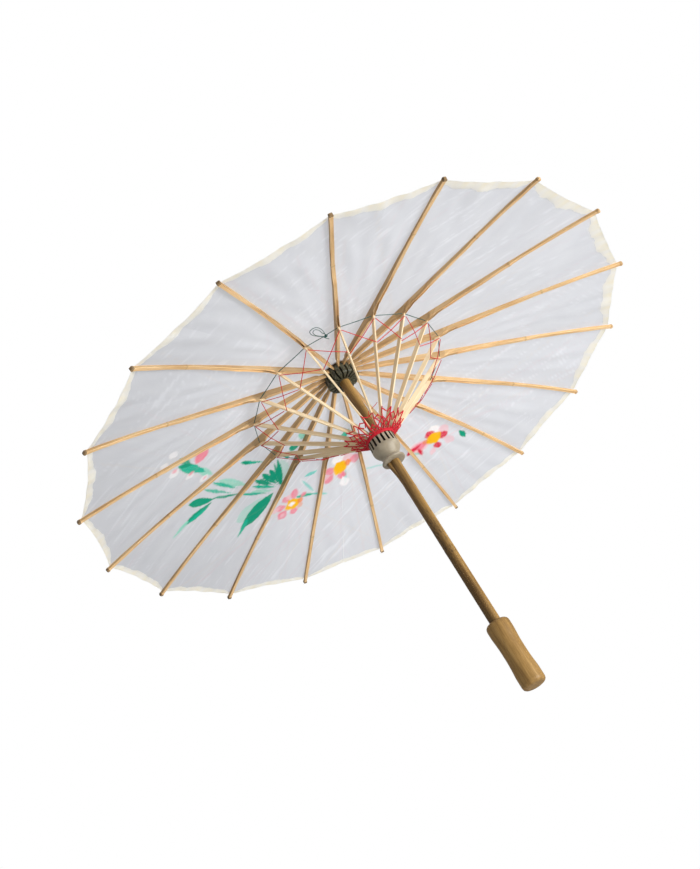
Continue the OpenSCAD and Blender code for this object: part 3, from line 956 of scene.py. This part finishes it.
def catch():
    """The tongue of the spring catch, whittled from the same stuff as the shaft."""
    az = math.radians(80)
    rings, uvs = [], []
    sections = ((0.3205, 0.0042, 0.0071, 0.0024), (0.3240, 0.0040, 0.0075, 0.0028),
                (0.3320, 0.0040, 0.0079, 0.0030), (0.3380, 0.0042, 0.0086, 0.0030),
                (0.3450, 0.0044, 0.0096, 0.0030), (0.3510, 0.0046, 0.0106, 0.0030),
                (0.3560, 0.0050, 0.0113, 0.0030), (0.3577, 0.0052, 0.0112, 0.0029))
    for z, inner, outer, half in sections:
        ring = [(inner, -half), (outer - 0.0012, -half), (outer, -half * 0.5), (outer, half * 0.5),
                (outer - 0.0012, half), (inner, half)]
        rings.append([unit(az) * r + across(az) * w + np.array([0, 0, z]) for r, w in ring])
        uvs += [(z, k * 0.002) for k in range(6)]
    verts, faces = loft(rings)
    ob = mesh_piece("spring_catch_mesh", verts, faces, SHAFT, "catch", uvs=uvs,
                    replaces=("spring_catch",), slot="shaft_wood")
    # the same painted shade as on the shaft
    colour_points(ob, "tint", [painted_side_shade(v.co) for v in ob.data.vertices])


catch()

# ---- threads

def half_threads(name, material, body_prefix, curves, radius, replaces, slot):
    """Threads between neighbours, cut half way so each half goes with its own rib."""
    for i in range(RIBS):
        parts = [tube_data(points, radius, 6) for points in curves(i)]
        verts, faces = joined(parts)
        ob = mesh_piece(f"{name}_{i + 1:02d}", verts, faces, material,
                        f"{body_prefix}_{i + 1:02d}", replaces=replaces, slot=slot)
        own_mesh(ob)


def joint_ring(i):
    """The thread through the rib joints, straight from one joint to the next."""
    p = rib_point(i * STEP, JOINT_U, JOINT_V, bend=False)
    out = []
    for side in (-1, 1):
        q = rib_point((i + side) * STEP, JOINT_U, JOINT_V, bend=False)
        mid = (p + q) / 2
        mid[2] -= 0.0004
        out += [p + (mid - p) * t for t in (np.linspace(1, 0, 8) if side < 0 else
                                            np.linspace(0, 1, 8)[1:])]
    return [out]


half_threads("joint_thread_mesh", GREEN, "rib", joint_ring, 0.00055,
             ("joint_thread",), "green_thread")


def gap_number(i, side):
    """The number of the gap beside stretcher i, the same from both its stretchers."""
    j = (i + side) % RIBS
    return min(i, j) if abs(i - j) == 1 else max(i, j)


def lace(i):
    """Red threads from stretcher i to the middle of the gap on each side."""
    rng = np.random.default_rng(500)
    shift = rng.uniform(-0.03, 0.03, size=(RIBS, 2))
    out = []
    for side in (-1, 1):
        gap = gap_number(i, side)
        for kind in (0, 1):
            low = 0.225 + shift[gap][kind] * 0.7
            mine_near = (kind == 0) == (side > 0)
            off = -0.0036 if kind else -0.0046
            here = stretcher_point(i, REACH * (0.02 if mine_near else low), off, side * 0.0010)
            there = stretcher_point(i + side, REACH * (low if mine_near else 0.02), off,
                                    -side * 0.0010)
            mid = (here + there) / 2 - stretcher_up(i + side / 2) * 0.0022
            out.append([here + (mid - here) * t for t in np.linspace(0, 1, 8)])
    return out


half_threads("red_lace_mesh", RED, "stretcher", lace, 0.00055,
             ("red_lace",), "red_thread")


def net(i):
    """The red net round the stretchers above the runner."""
    rng = np.random.default_rng(700)
    jitter = rng.uniform(-0.019, 0.019, size=(RIBS, 8))
    rows = (0.785, 0.855, 0.92, 0.972)
    out = []
    for side in (-1, 1):
        j, gap = (i + side) % RIBS, gap_number(i, side)
        for k in range(3):
            for up in (0, 1):
                if (gap + up + k) % (2, 4, 4)[k] == 0:
                    continue
                a = rows[k + up] + jitter[i][k + up]
                b = rows[k + 1 - up] + jitter[j][k + 1 - up]
                here = stretcher_point(i, REACH * a, -0.0036, side * 0.0009)
                there = stretcher_point(i + side, REACH * b, -0.0036, -side * 0.0009)
                mid = (here + there) / 2 + np.array([0, 0, 0.0008 * math.sin(gap * 2.1 + k * 3)])
                out.append([here * (1 - t) ** 2 + mid * (2 * t - t * t) if t < 1 else mid
                            for t in np.linspace(0, 1, 7)])
    high = rows[0] + jitter[i][0] - 0.02 * (i % 2)
    line = [stretcher_point(i, REACH * (high + (0.975 - high) * t), -0.0037,
                            0.0008 * math.sin(t * 7 + i)) for t in np.linspace(0, 1, 12)]
    return out + [line]


half_threads("red_net_mesh", RED, "stretcher", net, 0.00082,
             ("red_net",), "red_thread")


def band():
    """Thread wound round the outside of the runner's crown, in one length for each rib."""
    rng = np.random.default_rng(900)
    turns = [(0.0200 + 0.0008 * (turn % 2), 0.3972 + 0.0011 * (turn // 2), rng.uniform(0, 6.28),
              rng.uniform(0.0002, 0.0006)) for turn in range(8)]
    for i in range(RIBS):
        parts = []
        for r, z, phase, wave in turns:
            pts = []
            for k in range(9):
                a = STEP * (i - 0.5 + k / 8)
                pts.append(unit(a) * (r + wave * 0.6 * math.sin(5 * a + phase))
                           + np.array([0, 0, z + wave * math.sin(4 * a + phase)]))
            parts.append(tube_data(pts, 0.0008, 6))
        verts, faces = joined(parts)
        ob = mesh_piece(f"red_band_{i + 1:02d}", verts, faces, RED, "runner",
                        replaces=("red_band",), slot="red_thread")
        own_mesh(ob)


band()


def cord_piece(name, route, radius, material, body, node, slot, **facts):
    """A loose thread along route. facts is not used."""
    verts, faces = tube_data(route, radius, 10)
    ob = mesh_piece(name, verts, faces, material, body, replaces=(node,), slot=slot)
    return ob


LOOP_AZ = math.radians(152)
KNOT = unit(LOOP_AZ) * (JOINT_R - 0.0015) + np.array([0, 0, JOINT_Z - 0.0016])


def loop_point(out, aside, up):
    """A point in millimetres from the knot: out from the shaft, aside along the thread, up."""
    return (KNOT + unit(LOOP_AZ) * out / 1000 - across(LOOP_AZ) * aside / 1000
            + np.array([0, 0, up / 1000]))


loop_route = smooth_curve([loop_point(*q) for q in (
    (0.0, 0, 0), (2.0, -0.2, -0.3), (13, 0.5, 0.2), (23, 4.0, 0.3), (28, 10.0, 0),
    (26, 16.5, -0.4), (17, 15.5, -0.4), (8, 9, -0.2), (2.8, 3.6, -0.6), (-0.4, 1.6, -1.0),
    (-0.8, -1.0, -1.4), (1.6, -2.2, -1.6), (4.6, -1.0, -1.5), (11, 2.4, -1.2),
    (20, 5.2, -0.9), (25, 10.0, -0.9), (22, 13.4, -1.4), (14, 11.4, -1.6), (6, 5.6, -1.4),
    (-2.5, 0.4, -2.0), (-6, -2.4, -2.6))], 130)


def knot_blob(name, centre, radius, material, body, slot):
    """A small lumpy ball of thread."""
    verts, faces = [], []
    for r in range(7):
        th = math.pi * (0.06 + 0.88 * r / 6)
        for k in range(10):
            a = 2 * math.pi * k / 10
            bump_out = 1 + 0.18 * math.sin(3 * a + 2 * r)
            verts.append(centre + radius * bump_out * np.array(
                [math.sin(th) * math.cos(a), math.sin(th) * math.sin(a), math.cos(th)]))
    for r in range(6):
        for k in range(10):
            faces.append((r * 10 + k, r * 10 + (k + 1) % 10, r * 10 + 10 + (k + 1) % 10,
                          r * 10 + 10 + k))
    faces.append(tuple(range(9, -1, -1)))
    faces.append(tuple(60 + k for k in range(10)))
    return mesh_piece(name, verts, faces, material, body, slot=slot)


knot = knot_blob("green_knot", KNOT + np.array([0, 0, -0.0004]), 0.0016, GREEN, "rib_09",
                 "green_thread")

loop = cord_piece("thread_loop_mesh", loop_route, 0.00045, GREEN, "rib_09", "thread_loop",
                  "green_thread", far_end="knot", stiffness="limp", lay="loose")
for ob in (knot, loop):
    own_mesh(ob)

tail_route = smooth_curve([
    (-0.0220, -0.0030, 0.4085), (-0.0265, -0.0060, 0.4112), (-0.0270, 0.0000, 0.4145),
    (-0.0245, 0.0070, 0.4180), (-0.0252, 0.0118, 0.4230), (-0.0285, 0.0112, 0.4272),
    (-0.0325, 0.0062, 0.4288), (-0.0362, 0.0012, 0.4305), (-0.0395, -0.0020, 0.4320)], 80)
tail = cord_piece("red_tail_mesh", tail_route, 0.0004, RED, "runner", "red_tail",
                  "red_thread", far_end="bare", stiffness="limp", lay="loose")
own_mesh(tail)

# ---- stage, light and camera

def plane(name, size, location, material):
    """A flat square that belongs to the stage."""
    me = bpy.data.meshes.new(name)
    h = size / 2
    me.from_pydata([(-h, -h, 0), (h, -h, 0), (h, h, 0), (-h, h, 0)], [], [(0, 1, 2, 3)])
    ob = bpy.data.objects.new(name, me)
    ob.location = location
    me.materials.append(material)
    bpy.context.scene.collection.objects.link(ob)
    return ob


floor_material, nt, p = new_material("pale_floor")
p.inputs["Base Color"].default_value = (0.9, 0.9, 0.9, 1)
p.inputs["Roughness"].default_value = 0.9
plane("floor", 12, (0, 0, -0.75), floor_material)

world = bpy.data.worlds.new("studio")
bpy.context.scene.world = world
world.use_nodes = True
sky = world.node_tree.nodes["Background"]
sky.inputs["Color"].default_value = (1, 1, 1, 1)
path = world.node_tree.nodes.new("ShaderNodeLightPath")
seen = add(world.node_tree, "MapRange", {"Value": path.outputs["Is Camera Ray"],
                                         "To Min": 0.32, "To Max": 1.0})
fill(world.node_tree, sky, {"Strength": seen.outputs["Result"]})
bpy.context.scene.view_settings.view_transform = "Standard"

EYE = Vector((-1.22618, 0.78049, -0.41932))
LOOK = Vector((0.7382, -0.44749, 0.50479)).normalized()
UP = Vector((-0.63932, -0.22535, 0.73517))
UP = (UP - LOOK * UP.dot(LOOK)).normalized()
RIGHT = LOOK.cross(UP)


CANOPY_MIDDLE = Vector((0, 0, 0.42))


def area_light(name, direction, distance, size, power):
    """A square light that faces the canopy."""
    light = bpy.data.lights.new(name, "AREA")
    light.energy = power
    light.size = size
    ob = bpy.data.objects.new(name, light)
    d = direction.normalized()
    ob.matrix_world = Matrix.Translation(CANOPY_MIDDLE + d * distance) @ d.to_track_quat(
        "Z", "Y").to_matrix().to_4x4()
    bpy.context.scene.collection.objects.link(ob)


area_light("key", RIGHT * 1.3 + UP * 0.6 - LOOK * 1.0, 2.2, 0.9, 50)
area_light("behind", LOOK * 0.9 + UP * 1.3 - RIGHT * 0.4, 1.7, 1.6, 29)

camera = bpy.data.cameras.new("camera")
camera.sensor_fit = "VERTICAL"
camera.sensor_height = 36
camera.lens = 50.83
camera.clip_start = 0.01
camera.clip_end = 50
eye = bpy.data.objects.new("camera", camera)
eye.matrix_world = Matrix((
    (RIGHT.x, UP.x, -LOOK.x, EYE.x), (RIGHT.y, UP.y, -LOOK.y, EYE.y),
    (RIGHT.z, UP.z, -LOOK.z, EYE.z), (0, 0, 0, 1)))
bpy.context.scene.collection.objects.link(eye)
bpy.context.scene.camera = eye
